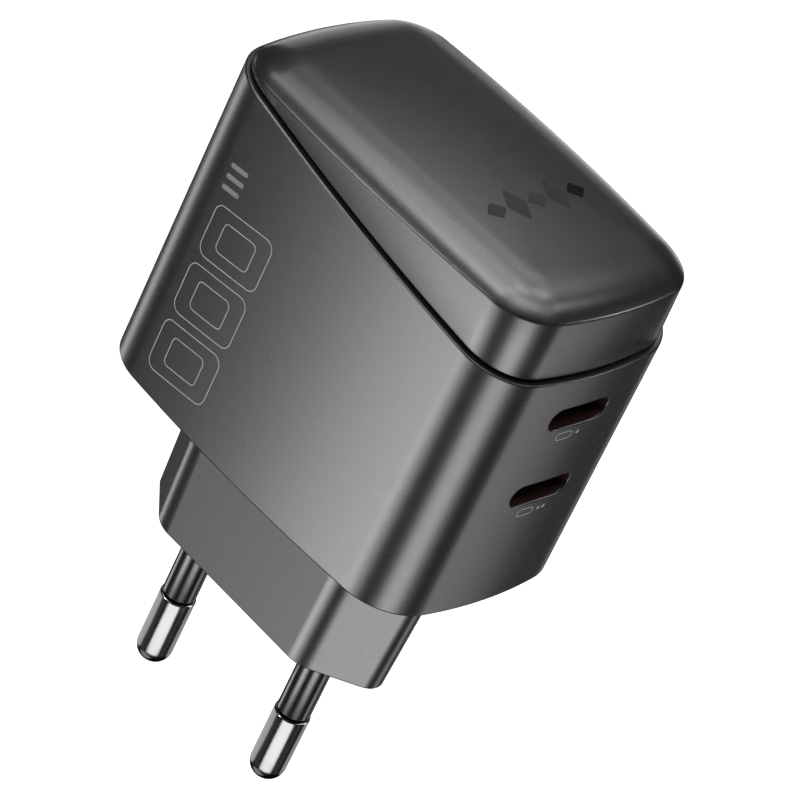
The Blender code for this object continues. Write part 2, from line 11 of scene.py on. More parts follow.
import bmesh
import bpy
import numpy as np
from mathutils import Matrix, Vector
from mathutils.bvhtree import BVHTree


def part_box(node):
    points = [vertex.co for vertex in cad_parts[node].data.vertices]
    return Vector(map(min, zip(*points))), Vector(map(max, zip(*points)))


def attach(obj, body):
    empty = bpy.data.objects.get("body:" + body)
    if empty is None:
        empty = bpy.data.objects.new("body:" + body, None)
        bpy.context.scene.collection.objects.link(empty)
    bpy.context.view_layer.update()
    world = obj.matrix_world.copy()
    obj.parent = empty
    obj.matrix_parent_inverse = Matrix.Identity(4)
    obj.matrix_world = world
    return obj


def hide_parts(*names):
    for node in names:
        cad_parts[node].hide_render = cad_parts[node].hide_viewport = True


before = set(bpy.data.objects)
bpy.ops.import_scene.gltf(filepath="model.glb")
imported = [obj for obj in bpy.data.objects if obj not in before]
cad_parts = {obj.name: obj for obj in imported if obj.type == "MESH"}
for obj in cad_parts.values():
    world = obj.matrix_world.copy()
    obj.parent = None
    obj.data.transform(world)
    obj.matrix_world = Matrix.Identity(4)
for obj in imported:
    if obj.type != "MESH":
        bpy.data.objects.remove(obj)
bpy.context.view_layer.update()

MM = 0.001

# Angle between two faces above which their shared edge stays sharp, in degrees
SHARP_ANGLE = 30.0

# How far a cutter runs past the body it cuts
CUT_MARGIN = 1.0

# Housing outline: a rounded rectangle with bowed sides
HALF_LENGTH = 23.13
HALF_WIDTH = 14.77
CORNER_RADIUS = 6.83
LONG_SIDE_BOW = 1.395
SHORT_SIDE_BOW = 1.905
BODY_BOTTOM = 17.62
BOTTOM_FILLET = 0.3
WALL = 2.0
FLOOR = 2.0
WALL_RING = 40.0
CORNER_STEPS = 26
LONG_STEPS = 24
SHORT_STEPS = 18

# Parting line: a slanted plane that levels out at the end away from the ports
RIM_MID = 50.92
RIM_SLOPE = -0.156
RIM_TOP = 54.02
RIM_BLEND = 0.35
RIM_BLEND_LIMIT = 60.0  # keeps the exponential in range
RIM_EDGE = 0.2

# Top cover
COVER_GAP = 0.34
SKIRT_FOOT_INSET = 0.52
SKIRT_FOOT_EDGE = 0.12
SKIRT_HEAD_INSET = 0.7
EDGE_HEIGHT = 54.22
EDGE_RADIUS = 0.55
EDGE_STEPS = 10
CROWN_ANGLE = 46.0
CROWN_RISE = 1.75
CROWN_REACH = 4.8
CROWN_DOME = 1.0
CROWN_STEPS = 24
CROWN_SPREAD = 1.3
CENTRE_STEPS = 16
COVER_CEILING = 52.4
LIP_OUTER_INSET = 2.3
LIP_INNER_INSET = 3.5
LIP_DEPTH = 2.4

# Where the skirt runs out, the rings of its edge still stand this far apart
THIN_SKIRT = 0.04
THIN_SKIRT_STEP = 0.012

# Plug block
BLOCK_HALF_LENGTH = 17.95
BLOCK_FLAT_HALF = 11.08
BLOCK_HALF_WIDTH = 6.42
BLOCK_SIDE_CORNER = 4.0
BLOCK_END_CORNER = 2.3
BLOCK_LEAST_CORNER = 0.5
BLOCK_TAPER = 0.045
BLOCK_SHOULDER = 17.32
BLOCK_FACE_FILLET = 0.25
BLOCK_FACE = 2.5
BLOCK_WALL = 1.7
NECK_INSET = 1.4
NECK_TOP = 20.6
NECK_CLEARANCE = 0.3

# Pins and sleeves
PIN_SPACING = 18.6
PIN_LENGTH = 19.0
PIN_RADIUS = 2.0
PIN_CORE_RADIUS = 1.15
PIN_SHOULDER = -10.0
PIN_EDGE = 0.16
PIN_HEAD_RADIUS = 2.2
PIN_HEAD = (4.0, 5.5)
PIN_TOP = 7.5
PIN_HOLE_RADIUS = 2.15
SLEEVE_RADIUS = 1.85
SLEEVE_BORE = 1.45
SLEEVE_FOOT = -9.7
SLEEVE_TOP = 3.5
SLEEVE_EDGE = 0.1
TURNED_STEPS = 72

# Ports
PORT_HEIGHTS = (42.1, 32.25)
PORT_SHIFT = 0.2
PORT_SLOT = (8.5, 2.6)
PORT_LIP = 0.16
PORT_CUT = (-0.6, 4.0)
LINER_MARGIN = 0.01
LINER_TILT = 0.5
TONGUE_THICKNESS = 0.7
TONGUE_TIP = 19.9
CONTACTS = 12
CONTACT_PITCH = 0.5
CONTACT_HALF_WIDTH = 0.13
CONTACT_SINK = 0.02
CONTACT_STAND = 0.03
CONTACT_START = 16.6
CONTACT_TIP_GAP = 0.35
BROKEN_EDGE = 0.02


# ------------------------------------------------------------- outlines


def arc(centre, radius, start, end, steps):
    angles = np.linspace(start, end, steps + 1)
    return np.array(centre) + radius * np.stack([np.cos(angles), np.sin(angles)], 1)


def side_radius(half, bow):
    """Radius of the long arc that rises by `bow` over the half length `half`."""
    return (half**2 + bow**2) / (2 * bow)


LONG_RADIUS = side_radius(HALF_LENGTH, LONG_SIDE_BOW)
SHORT_RADIUS = side_radius(HALF_WIDTH, SHORT_SIDE_BOW)
LONG_CENTRE = np.array([0.0, HALF_WIDTH - LONG_RADIUS])
SHORT_CENTRE = np.array([HALF_LENGTH - SHORT_RADIUS, 0.0])


def corner_centre():
    """Where a corner circle touches both side arcs from inside."""
    reach_long = LONG_RADIUS - CORNER_RADIUS
    reach_short = SHORT_RADIUS - CORNER_RADIUS
    between = SHORT_CENTRE - LONG_CENTRE
    span = np.linalg.norm(between)
    along = (reach_long**2 - reach_short**2 + span**2) / (2 * span)
    across = math.sqrt(reach_long**2 - along**2)
    unit = between / span
    return LONG_CENTRE + unit * along + np.array([unit[1], -unit[0]]) * across


def body_outline(inset):
    """The housing's outline, drawn in by `inset`, anticlockwise from +X."""
    corner = corner_centre()
    long_angle = math.atan2(*(corner - LONG_CENTRE)[::-1])
    short_angle = math.atan2(*(corner - SHORT_CENTRE)[::-1])
    end_side = arc(SHORT_CENTRE, SHORT_RADIUS - inset, 0.0, short_angle, SHORT_STEPS)
    bend = arc(corner, CORNER_RADIUS - inset, short_angle, long_angle, CORNER_STEPS)
    long_side = arc(
        LONG_CENTRE, LONG_RADIUS - inset, long_angle, math.pi / 2, LONG_STEPS
    )
    quarter = np.concatenate([end_side, bend[1:], long_side[1:]])
    half = np.concatenate([quarter, quarter[-2::-1] * (-1, 1)])
    return np.concatenate([half, half[-2:0:-1] * (1, -1)])


BODY_X = body_outline(0.0)[:, 0]


def rim_height():
    """Height of the housing's rim above each point of the outline."""
    slanted = RIM_MID + RIM_SLOPE * BODY_X
    gap = np.minimum((RIM_TOP - slanted) / RIM_BLEND, RIM_BLEND_LIMIT)
    return RIM_TOP - RIM_BLEND * np.log1p(np.exp(gap))


def raised(outline, height):
    """An outline as 3-D points, at one height or at one height per point."""
    return np.column_stack([outline, np.broadcast_to(height, len(outline))])


def convex_offset(points, inset):
    """A convex polygon with each side moved in by `inset`."""
    moved = []
    for i, point in enumerate(points):
        before = (point - points[i - 1]).normalized()
        after = (points[(i + 1) % len(points)] - point).normalized()
        inward_a = Vector((-before.y, before.x))
        inward_b = Vector((-after.y, after.x))
        bisector = (inward_a + inward_b).normalized()
        moved.append(point + bisector * inset / bisector.dot(inward_a))
    return moved


def rounded(points, radii, steps=12):
    """A convex polygon, anticlockwise, with each corner rounded to its own radius."""
    outline = []
    for i, (point, radius) in enumerate(zip(points, radii)):
        before = (points[i - 1] - point).normalized()
        after = (points[(i + 1) % len(points)] - point).normalized()
        half_angle = before.angle(after) / 2
        centre = point + (before + after).normalized() * radius / math.sin(half_angle)
        reach = radius / math.tan(half_angle)
        start = point + before * reach - centre
        end = point + after * reach - centre
        turn = start.angle_signed(end)
        first = math.atan2(start.y, start.x)
        outline.append(arc(centre, radius, first, first - turn, steps))
    return np.concatenate(outline)


def block_outline(height, inset=0.0):
    """The plug block's six-sided outline, a little wider further up."""
    scale = 1 + BLOCK_TAPER * height / BODY_BOTTOM
    corners = (
        (BLOCK_HALF_LENGTH, 0.0),
        (BLOCK_FLAT_HALF, BLOCK_HALF_WIDTH),
        (-BLOCK_FLAT_HALF, BLOCK_HALF_WIDTH),
        (-BLOCK_HALF_LENGTH, 0.0),
        (-BLOCK_FLAT_HALF, -BLOCK_HALF_WIDTH),
        (BLOCK_FLAT_HALF, -BLOCK_HALF_WIDTH),
    )
    sides = [Vector(c) * scale for c in corners]
    end, side = BLOCK_END_CORNER - inset, BLOCK_SIDE_CORNER - inset
    radii = [max(radius, BLOCK_LEAST_CORNER) for radius in (end, side, side) * 2]
    return rounded(convex_offset(sides, inset), radii)


def slot_outline(width, height, steps=16):
    """A slot with fully rounded ends, its long side along the first axis."""
    radius = height / 2
    reach = width / 2 - radius
    quarter = math.pi / 2
    right = arc((reach, 0.0), radius, -quarter, quarter, steps)
    left = arc((-reach, 0.0), radius, quarter, 3 * quarter, steps)
    return np.concatenate([right, left])


def front_surface(x):
    """Y of the long front side at x."""
    return -(LONG_CENTRE[1] + math.sqrt(LONG_RADIUS**2 - x**2))


def end_surface(y):
    """X of the side with the ports at y."""
    return SHORT_CENTRE[0] + math.sqrt(SHORT_RADIUS**2 - y**2)


# ------------------------------------------------------------- meshes


def piece(mesh, name, look=None):
    """A mesh as an object in the scene; a cutter or a guide has no look."""
    obj = bpy.data.objects.new(name, mesh)
    bpy.context.scene.collection.objects.link(obj)
    if look is not None:
        mesh.materials.append(look)
        mesh.shade_smooth()
        mesh.set_sharp_from_angle(angle=math.radians(SHARP_ANGLE))
    return obj


def skin(rings, name, look=None):
    """One closed body through rings of equal length, capped at both ends."""
    rows = np.array(rings) * MM
    count, around = rows.shape[:2]
    faces = []
    for row in range(count - 1):
        low, high = row * around, (row + 1) * around
        for i in range(around):
            j = (i + 1) % around
            faces.append((low + i, low + j, high + j, high + i))
    faces.append(tuple(reversed(range(around))))
    faces.append(tuple(range((count - 1) * around, count * around)))
    mesh = bpy.data.meshes.new(name)
    mesh.from_pydata(rows.reshape(-1, 3).tolist(), [], faces)
    bm = bmesh.new()
    bm.from_mesh(mesh)
    bmesh.ops.recalc_face_normals(bm, faces=bm.faces)
    bm.to_mesh(mesh)
    bm.free()
    return piece(mesh, name, look)


# Points closer than this are one point, in metres: on the axis, and elsewhere
AXIS_MERGE = 0.00001
POINT_MERGE = 0.000002


def turned(profile, x, name, look=None):
    """A body turned round the upright axis through x, from (radius, height) pairs."""
    bm = bmesh.new()
    spots = [
        bm.verts.new((radius * MM, 0.0, height * MM)) for radius, height in profile
    ]
    for first, second in zip(spots, spots[1:]):
        bm.edges.new((first, second))
    mesh = bpy.data.meshes.new(name)
    bm.to_mesh(mesh)
    bm.free()
    guide = piece(mesh, name + "_profile")
    screw = guide.modifiers.new("turn", "SCREW")
    screw.steps = TURNED_STEPS
    screw.render_steps = TURNED_STEPS
    screw.use_merge_vertices = True
    screw.merge_threshold = AXIS_MERGE
    body = evaluated_mesh(guide)
    bpy.data.objects.remove(guide, do_unlink=True)
    bm = bmesh.new()
    bm.from_mesh(body)
    bmesh.ops.remove_doubles(bm, verts=bm.verts, dist=POINT_MERGE)
    bmesh.ops.translate(bm, vec=(x * MM, 0.0, 0.0), verts=bm.verts)
    bmesh.ops.recalc_face_normals(bm, faces=bm.faces)
    bm.to_mesh(body)
    bm.free()
    return piece(body, name, look)


def evaluated_mesh(obj):
    graph = bpy.context.evaluated_depsgraph_get()
    return bpy.data.meshes.new_from_object(obj.evaluated_get(graph))


def cut(obj, cutters):
    """Takes each cutter out of the body for good, then evens the shading."""
    for cutter in cutters:
        boolean = obj.modifiers.new("cut", "BOOLEAN")
        boolean.operation = "DIFFERENCE"
        boolean.solver = "EXACT"
        boolean.object = cutter
        mesh = evaluated_mesh(obj)
        obj.modifiers.clear()
        obj.data = mesh
        bpy.data.objects.remove(cutter, do_unlink=True)
    obj.data.shade_smooth()
    obj.data.set_sharp_from_angle(angle=math.radians(SHARP_ANGLE))
    even = obj.modifiers.new("even_shading", "WEIGHTED_NORMAL")
    even.keep_sharp = True


def quarter_round(radius, steps):
    """(inset, rise) pairs round a convex edge, from a level face to an upright one."""
    angles = np.linspace(0.0, math.pi / 2, steps + 1)
    return [(radius * (1 - math.sin(a)), radius * (1 - math.cos(a))) for a in angles]


def grown(outline, margin):
    """A convex outline moved outwards by `margin`."""
    tangent = np.roll(outline, -1, axis=0) - np.roll(outline, 1, axis=0)
    outward = np.column_stack([tangent[:, 1], -tangent[:, 0]])
    return outline + margin * outward / np.linalg.norm(outward, axis=1)[:, None]


def stacked_blocks(corners, name, look):
    """Several small blocks as one piece, each with slightly broken edges."""
    bm = bmesh.new()
    for low, high in corners:
        centre = (Vector(low) + Vector(high)) / 2 * MM
        size = (Vector(high) - Vector(low)) * MM
        place = Matrix.Translation(centre) @ Matrix.Diagonal((*size, 1.0))
        bmesh.ops.create_cube(bm, size=1.0, matrix=place)
    bmesh.ops.bevel(
        bm,
        geom=bm.edges,
        offset=BROKEN_EDGE * MM,
        segments=1,
        profile=0.5,
        affect="EDGES",
    )
    mesh = bpy.data.meshes.new(name)
    bm.to_mesh(mesh)
    bm.free()
    return piece(mesh, name, look)


# ------------------------------------------------------------- materials


def linear(code):
    """A '#RRGGBB' colour as linear RGBA."""
    parts = [int(code[i : i + 2], 16) / 255 for i in (1, 3, 5)]
    return (
        *(c / 12.92 if c <= 0.04045 else ((c + 0.055) / 1.055) ** 2.4 for c in parts),
        1.0,
    )


def per_metre(size_mm):
    """Texture scale whose pattern repeats about every `size_mm`."""
    return 1000.0 / size_mm


def add(tree, kind, inputs=None, **settings):
    """Adds a node, sets its properties, and sets or links its inputs."""
    node = tree.nodes.new(kind)
    for key, value in settings.items():
        setattr(node, key, value)
    for key, value in (inputs or {}).items():
        if isinstance(value, bpy.types.NodeSocket):
            tree.links.new(value, node.inputs[key])
        else:
            node.inputs[key].default_value = value
    return node


def blank(name):
    """A new material with a Principled shader; returns all three."""
    made = bpy.data.materials.new(name)
    made.use_nodes = True
    tree = made.node_tree
    return made, tree, tree.nodes["Principled BSDF"]


def dress(tree, shader, tint, polish, relief, metallic):
    """Joins a finish's colour, roughness and relief to its shader."""
    tree.links.new(tint.outputs["Result"], shader.inputs["Base Color"])
    tree.links.new(polish.outputs["Result"], shader.inputs["Roughness"])
    tree.links.new(relief.outputs["Normal"], shader.inputs["Normal"])
    shader.inputs["Metallic"].default_value = metallic


def grained(name, dark, light, rough, grain_mm, relief_mm, metallic=0.0, ior=None):
    """A finish with a fine grain: colour and roughness drift, and a low relief."""
    made, tree, shader = blank(name)
    where = add(tree, "ShaderNodeTexCoord")
    drift = add(
        tree,
        "ShaderNodeTexNoise",
        {
            "Vector": where.outputs["Object"],
            "Scale": per_metre(6 * grain_mm),
            "Detail": 3.0,
        },
    )
    tint = add(
        tree,
        "ShaderNodeMix",
        {"Factor": drift.outputs["Fac"], "A": linear(dark), "B": linear(light)},
        data_type="RGBA",
    )
    polish = add(
        tree,
        "ShaderNodeMapRange",
        {"Value": drift.outputs["Fac"], "To Min": rough[0], "To Max": rough[1]},
    )
    grain = add(
        tree,
        "ShaderNodeTexNoise",
        {
            "Vector": where.outputs["Object"],
            "Scale": per_metre(grain_mm),
            "Detail": 2.0,
        },
    )
    relief = add(
        tree,
        "ShaderNodeBump",
        {"Height": grain.outputs["Fac"], "Strength": 1.0, "Distance": relief_mm * MM},
    )
    dress(tree, shader, tint, polish, relief, metallic)
    if ior is not None:
        shader.inputs["IOR"].default_value = ior
    return made


# Polycarbonate, moulded against a spark-eroded tool: an even satin black with
# a sparkle so fine that it only just breaks up the long soft reflections. The
# tool's pits are 0.05 mm across and are drawn at 0.22 mm so that they show.
moulded_polycarbonate = grained(
    "moulded_polycarbonate", "#161618", "#1a1a1c", (0.26, 0.30), 0.22, 0.0008, ior=1.585
)

# The same polycarbonate against a finer tool: the cover is a shade lighter and
# its relief is lower, so its edge catches a crisper line of light.
satin_polycarbonate = grained(
    "satin_polycarbonate", "#1a1a1c", "#1e1e20", (0.26, 0.30), 0.22, 0.0005, ior=1.585
)

# Nylon, moulded against a polished tool: glossy black, with clear streaks.
polished_nylon = grained(
    "polished_nylon", "#0d0d0e", "#121213", (0.18, 0.24), 0.5, 0.0006, ior=1.53
)

# Brass turned on a lathe and nickel plated: bright neutral grey with a faint
# tooth. Its real grain is 0.05 mm across and is drawn at 0.25 mm.
nickel_plate = grained(
    "nickel_plate", "#c4c3c2", "#d0cfce", (0.18, 0.24), 0.25, 0.0004, metallic=1.0
)

# Bent strip of rolled brass: yellow and a little streaked.
rolled_brass = grained(
    "rolled_brass", "#c39a4f", "#d8b267", (0.28, 0.38), 0.3, 0.001, metallic=1.0
)

# Drawn stainless steel, blackened inside the socket: dull dark grey.
drawn_steel = grained(
    "drawn_steel", "#55504e", "#6b6664", (0.30, 0.42), 0.2, 0.001, metallic=1.0
)

# Liquid-crystal polymer of the socket's tongue: matt black-brown.
matt_polymer = grained(
    "matt_polymer", "#160f0e", "#1f1614", (0.45, 0.55), 0.2, 0.001, ior=1.6
)

# The port's liner: a dark red-brown moulded insert, satin, seen deep in shadow.
port_liner = grained(
    "port_liner", "#24110f", "#2c1613", (0.35, 0.45), 0.2, 0.001, ior=1.55
)

# Gold plating over nickel on the socket's contacts: bright yellow stripes.
gold_plate = grained(
    "gold_plate", "#e0b04c", "#f0c868", (0.18, 0.24), 0.2, 0.0004, metallic=1.0
)

# Screen-printed grey ink: thin, matt and slightly uneven in its coverage.
printed_ink = grained(
    "printed_ink", "#6e6e70", "#7c7c7e", (0.45, 0.6), 0.2, 0.0015, ior=1.5
)

# The same ink printed as a fine screen: lies darker and flatter.
faded_ink = grained(
    "faded_ink", "#4c4c4e", "#58585a", (0.45, 0.6), 0.2, 0.0015, ior=1.5
)

# Clear gloss varnish over black ink: shows only where light runs across it.
gloss_varnish = grained(
    "gloss_varnish", "#111112", "#161617", (0.10, 0.14), 0.5, 0.0004, ior=1.5
)


# A wave texture repeats this many times over one unit of its scaled space.
WAVE_UNIT = 20.0 / (2 * math.pi)


def ridged(name, dark, light, rough, pitch_mm, relief_mm, axis, metallic=0.0):
    """A finish with fine parallel ridges across an axis: wound wire or a weave."""
    made, tree, shader = blank(name)
    where = add(tree, "ShaderNodeTexCoord")
    ridges = add(
        tree,
        "ShaderNodeTexWave",
        {"Vector": where.outputs["Object"], "Scale": per_metre(pitch_mm) / WAVE_UNIT},
        bands_direction=axis,
    )
    drift = add(
        tree,
        "ShaderNodeTexNoise",
        {"Vector": where.outputs["Object"], "Scale": per_metre(4 * pitch_mm)},
    )
    tint = add(
        tree,
        "ShaderNodeMix",
        {"Factor": ridges.outputs["Fac"], "A": linear(dark), "B": linear(light)},
        data_type="RGBA",
    )
    polish = add(
        tree,
        "ShaderNodeMapRange",
        {"Value": drift.outputs["Fac"], "To Min": rough[0], "To Max": rough[1]},
    )
    relief = add(
        tree,
        "ShaderNodeBump",
        {"Height": ridges.outputs["Fac"], "Strength": 1.0, "Distance": relief_mm * MM},
    )
    dress(tree, shader, tint, polish, relief, metallic)
    return made


# Glass-fibre laminate under green solder mask: the woven cloth's 0.5 mm
# threads show through as faint ribs.
glass_laminate = ridged(
    "glass_laminate", "#12452a", "#1a5534", (0.35, 0.45), 0.5, 0.01, "Z"
)

# Enamelled copper wire, wound close: glossy orange-brown ridges.
enamelled_copper = ridged(
    "enamelled_copper", "#8a4a24", "#c87a45", (0.22, 0.32), 0.4, 0.08, "Y", metallic=1.0
)

# Sintered ferrite, pressed and tumbled: matt charcoal with fine pores.
sintered_ferrite = grained(
    "sintered_ferrite", "#353639", "#45464a", (0.55, 0.7), 0.3, 0.01, ior=2.0
)

# Glass-filled phenolic bobbin: black and dull.
moulded_phenolic = grained(
    "moulded_phenolic", "#1c1b1a", "#262524", (0.45, 0.55), 0.3, 0.004, ior=1.6
)

# Shrunk PVC sleeve on the large capacitors: dark blue with a soft gloss.
shrunk_vinyl = grained(
    "shrunk_vinyl", "#1d2a3c", "#243348", (0.3, 0.38), 0.6, 0.004, ior=1.53
)

# Drawn aluminium cans: pale grey with a slight haze.
drawn_aluminium = grained(
    "drawn_aluminium", "#c5c7c9", "#d4d6d8", (0.25, 0.34), 0.3, 0.002, metallic=1.0
)

# Rolled aluminium heat spreader: pale grey, with ribs from the roll.
rolled_aluminium = ridged(
    "rolled_aluminium", "#bfc1c3", "#cdcfd1", (0.32, 0.42), 0.3, 0.002, "X",
    metallic=1.0,
)

# Glazed ceramic tube of the fuse: cream and glossy.
glazed_ceramic = grained(
    "glazed_ceramic", "#cfc7b4", "#ddd6c6", (0.15, 0.25), 0.5, 0.002, ior=1.55
)

# Dipped epoxy on the thermistor and the disc capacitor: waxy skins.
dark_green_dip = grained(
    "dark_green_dip", "#1b3327", "#234032", (0.35, 0.45), 0.5, 0.008, ior=1.55
)
blue_dip = grained(
    "blue_dip", "#27548c", "#30629c", (0.35, 0.45), 0.5, 0.008, ior=1.55
)

# Polyester film capacitor in its moulded box: mustard yellow, semi-matt.
moulded_polyester = grained(
    "moulded_polyester", "#b8922c", "#c9a23a", (0.4, 0.5), 0.3, 0.003, ior=1.57
)

# Transfer-moulded epoxy of the chips: black with a sandy tooth.
chip_epoxy = grained(
    "chip_epoxy", "#1a1a1b", "#222223", (0.5, 0.62), 0.15, 0.004, ior=1.58
)

# Filled silicone pad: soft grey putty.
silicone_pad = grained(
    "silicone_pad", "#8d939b", "#9ba1a9", (0.7, 0.85), 0.3, 0.01, ior=1.41
)

# Polyester sheet: milky white and smooth.
polyester_sheet = grained(
    "polyester_sheet", "#d8d8d0", "#e2e2da", (0.28, 0.36), 0.8, 0.002, ior=1.64
)


# ------------------------------------------------------------- enclosure


def build_housing():
    """A cup: up the outside, over the slanted rim, down the inside."""
    rim = rim_height()
    rings = [
        raised(body_outline(inset), BODY_BOTTOM + rise)
        for inset, rise in quarter_round(BOTTOM_FILLET, steps=8)
    ]
    rings.append(raised(body_outline(0.0), WALL_RING))
    for inset, drop in reversed(quarter_round(RIM_EDGE, steps=5)):
        rings.append(raised(body_outline(inset), rim - drop))
    rings.append(raised(body_outline(WALL), rim))
    rings.append(raised(body_outline(WALL), BODY_BOTTOM + FLOOR))
    housing = skin(rings, "housing_shell", moulded_polycarbonate)
    hexagon = block_outline(BODY_BOTTOM, NECK_INSET - NECK_CLEARANCE)
    opening = skin(
        [
            raised(hexagon, BODY_BOTTOM - CUT_MARGIN),
            raised(hexagon, BODY_BOTTOM + FLOOR + CUT_MARGIN),
        ],
        "opening_cutter",
    )
    cut(housing, [opening] + [port_cutter(height) for height in PORT_HEIGHTS])
    line_ports(housing)
    return housing


def line_ports(housing):
    """Gives the slots' own walls the liner: the faces that look across a slot."""
    housing.data.materials.append(port_liner)
    for face in housing.data.polygons:
        x, y, z = face.center / MM
        depth = end_surface(y) - x
        in_port = any(abs(z - height) < PORT_SLOT[1] for height in PORT_HEIGHTS)
        in_wall = PORT_LIP < depth < WALL - LINER_MARGIN
        if in_port and in_wall and abs(face.normal.x) < LINER_TILT:
            face.material_index = 1


def port_cutter(height):
    """The slot for one port, flared at the surface into a small rounded lip."""
    slot = slot_outline(*PORT_SLOT) + (PORT_SHIFT, height)
    start, end = PORT_CUT
    depths = [(PORT_LIP, start), *quarter_round(PORT_LIP, steps=5), (0.0, end)]
    rings = []
    for margin, depth in depths:
        loop = grown(slot, margin) if margin else slot
        rings.append([(end_surface(y) - depth, y, z) for y, z in loop])
    return skin(rings, "port_cutter")


def crown_bulge(points):
    """How far the crown swells above its shoulders, most in the middle."""
    across = 1 - (points[:, 1] / HALF_WIDTH) ** 2
    along = 1 - (points[:, 0] / HALF_LENGTH) ** 2
    return CROWN_DOME * across * along


def crown_rise(reach):
    """How far the crown has risen, `reach` in from its edge."""
    slope = math.tan(math.radians(CROWN_ANGLE))
    return CROWN_RISE * (1 - math.exp(-reach * slope / CROWN_RISE))


def build_cover():
    """The domed cover: a wedge-shaped skirt, a pillow top and a locating lip."""
    rim = rim_height()
    rings = [
        raised(body_outline(LIP_INNER_INSET), COVER_CEILING),
        raised(body_outline(LIP_INNER_INSET), rim - LIP_DEPTH),
        raised(body_outline(LIP_OUTER_INSET), rim - LIP_DEPTH),
        raised(body_outline(LIP_OUTER_INSET), rim + COVER_GAP),
    ]
    for inset, rise in quarter_round(SKIRT_FOOT_EDGE, steps=3):
        loop = body_outline(SKIRT_FOOT_INSET + inset)
        rings.append(raised(loop, rim + COVER_GAP + rise))
    foot = rim + COVER_GAP + SKIRT_FOOT_EDGE
    sweep = math.radians(90.0 - CROWN_ANGLE)
    for i in range(EDGE_STEPS + 1):
        angle = sweep * i / EDGE_STEPS
        inset = SKIRT_HEAD_INSET + EDGE_RADIUS * (1 - math.cos(angle))
        height = EDGE_HEIGHT + EDGE_RADIUS * math.sin(angle)
        above_foot = foot + THIN_SKIRT + THIN_SKIRT_STEP * i
        rings.append(raised(body_outline(inset), np.maximum(height, above_foot)))
    start_inset = SKIRT_HEAD_INSET + EDGE_RADIUS * (1 - math.cos(sweep))
    start_height = EDGE_HEIGHT + EDGE_RADIUS * math.sin(sweep)
    start = body_outline(start_inset)
    shares = np.linspace(0.0, 1.0, CROWN_STEPS + 1)[1:]
    for reach in CROWN_REACH * shares**CROWN_SPREAD:
        loop = body_outline(start_inset + reach)
        fade = (1 + math.cos(math.pi * reach / CROWN_REACH)) / 2
        bulge = crown_bulge(loop) - fade * crown_bulge(start)
        rings.append(raised(loop, start_height + crown_rise(reach) + bulge))
    shoulder = start_height + crown_rise(CROWN_REACH)
    flat_top = start_height + CROWN_RISE
    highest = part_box("top_cover")[1][2] / MM
    for share in np.linspace(1.0, 0.0, CENTRE_STEPS + 1)[1:-1]:
        inner = loop * share
        height = flat_top - (flat_top - shoulder) * share**2 + crown_bulge(inner)
        rings.append(raised(inner, np.minimum(height, highest)))
    return skin(rings, "cover_shell", satin_polycarbonate)


def build_plug_block():
    """The six-sided plug body, hollow and open upwards, with two pin holes."""
    rings = [
        raised(block_outline(rise, inset), rise)
        for inset, rise in quarter_round(BLOCK_FACE_FILLET, steps=6)
    ]
    rings.append(raised(block_outline(BLOCK_SHOULDER), BLOCK_SHOULDER))
    neck = block_outline(BODY_BOTTOM, NECK_INSET)
    rings.append(raised(neck, BLOCK_SHOULDER))
    rings.append(raised(neck, NECK_TOP))
    block = skin(rings, "plug_body", moulded_polycarbonate)
    inner = block_outline(0.0, NECK_INSET + BLOCK_WALL)
    hollow = [raised(inner, BLOCK_FACE), raised(inner, NECK_TOP + CUT_MARGIN)]
    cutters = [skin(hollow, "hollow_cutter")]
    bore = [
        (0.0, -CUT_MARGIN),
        (PIN_HOLE_RADIUS, -CUT_MARGIN),
        (PIN_HOLE_RADIUS, BLOCK_FACE + CUT_MARGIN),
        (0.0, BLOCK_FACE + CUT_MARGIN),
    ]
    for x in (-PIN_SPACING / 2, PIN_SPACING / 2):
        cutters.append(turned(bore, x, "pin_hole_cutter"))
    cut(block, cutters)
    return block


# ------------------------------------------------------------- plug pins


def pin_profile():
    """From the round tip up to the head that holds the pin in the block."""
    angles = np.linspace(0.0, math.pi / 2, 21)
    tip = [
        (PIN_RADIUS * math.sin(a), -PIN_LENGTH + PIN_RADIUS * (1 - math.cos(a)))
        for a in angles
    ]
    edge = [
        (PIN_RADIUS - inset, PIN_SHOULDER - rise)
        for inset, rise in reversed(quarter_round(PIN_EDGE, steps=4))
    ]
    return tip + edge + [
        (PIN_CORE_RADIUS, PIN_SHOULDER),
        (PIN_CORE_RADIUS, PIN_HEAD[0]),
        (PIN_HEAD_RADIUS, PIN_HEAD[0]),
        (PIN_HEAD_RADIUS, PIN_HEAD[1]),
        (PIN_CORE_RADIUS, PIN_HEAD[1]),
        (PIN_CORE_RADIUS, PIN_TOP),
        (0.0, PIN_TOP),
    ]


def sleeve_profile():
    """A plain tube round the pin, its lower outer edge broken."""
    edge = [
        (SLEEVE_RADIUS - inset, SLEEVE_FOOT + rise)
        for inset, rise in quarter_round(SLEEVE_EDGE, steps=3)
    ]
    return [(SLEEVE_BORE, SLEEVE_FOOT)] + edge + [
        (SLEEVE_RADIUS, SLEEVE_TOP),
        (SLEEVE_BORE, SLEEVE_TOP),
        (SLEEVE_BORE, SLEEVE_FOOT),
    ]


def contact_blocks(height):
    """Twelve contacts on the upper face of a tongue and twelve on the lower."""
    half = CONTACT_HALF_WIDTH
    tip = TONGUE_TIP - CONTACT_TIP_GAP
    made = []
    for side in (-1, 1):
        face = height + side * TONGUE_THICKNESS / 2
        low, high = sorted((face - side * CONTACT_SINK, face + side * CONTACT_STAND))
        for i in range(CONTACTS):
            y = PORT_SHIFT + (i - (CONTACTS - 1) / 2) * CONTACT_PITCH
            made.append(((CONTACT_START, y - half, low), (tip, y + half, high)))
    return made


# ------------------------------------------------------------- printed marks

